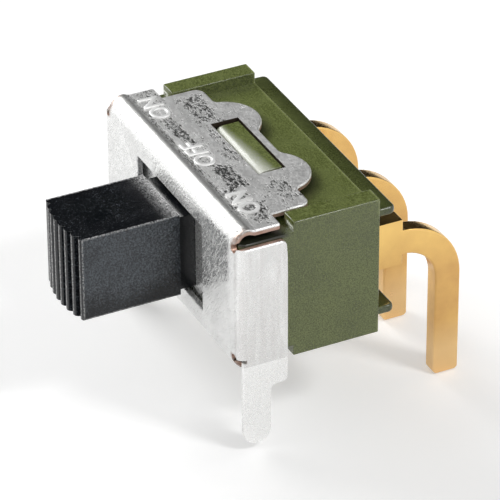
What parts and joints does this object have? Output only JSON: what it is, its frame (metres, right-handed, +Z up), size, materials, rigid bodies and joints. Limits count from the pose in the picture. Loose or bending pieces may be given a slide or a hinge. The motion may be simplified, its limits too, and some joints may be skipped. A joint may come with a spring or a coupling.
{
  "type": "slide switch",
  "caption": "Miniature right-angle slide switch for a circuit board: ribbed black knob in a folded metal frame on a moulded case, with hooked rear terminals.",
  "frame": {"origin": "under the middle of the part, at the height of the terminal tips", "axes": "+X along the knob's travel, +Y from the knob to the terminals, +Z up from the board"},
  "size_m": [0.0132, 0.0166, 0.0106],
  "materials": {
    "tin_plate": "bright tin plate",
    "olive_plastic": "satin moulded thermoset",
    "black_plastic": "fine moulded texture",
    "ivory_plastic": "smooth",
    "spring_wire": "drawn wire",
    "gold_plate": "satin gold plate",
    "seal_resin": "cast resin"
  },
  "bodies": {
    "housing": {"frame": "tin_plate", "case": "olive_plastic", "left_terminal": "gold_plate", "centre_terminal": "gold_plate", "right_terminal": "gold_plate", "terminal_seal": "seal_resin"},
    "slider": {"slide_knob": "black_plastic", "dust_shield": "tin_plate", "plunger_spring": "spring_wire"},
    "plunger": {"plunger": "ivory_plastic"},
    "rocker": {"rocker_contact": "gold_plate"}
  },
  "joints": [
    {"name": "knob_slide", "type": "slide", "parent": "housing", "child": "slider", "axis": [1, 0, 0], "range_m": [-0.00125, 0.00125]},
    {"name": "rocker_tilt", "type": "hinge", "parent": "housing", "child": "rocker", "pos_m": [0, 0.00143, 0.00729], "axis": [0, 0, 1], "range_deg": [-3, 3]},
    {"name": "plunger_press", "type": "slide", "parent": "slider", "child": "plunger", "axis": [0, -1, 0], "range_m": [0, 0.00035], "stiffness_N_per_m": 200, "springref_m": -0.0008, "deforming": ["plunger_spring"]}
  ],
  "couplings": [
    {"joint": "rocker_tilt", "follows": "knob_slide", "rad_per_m": 41.88}
  ]
}
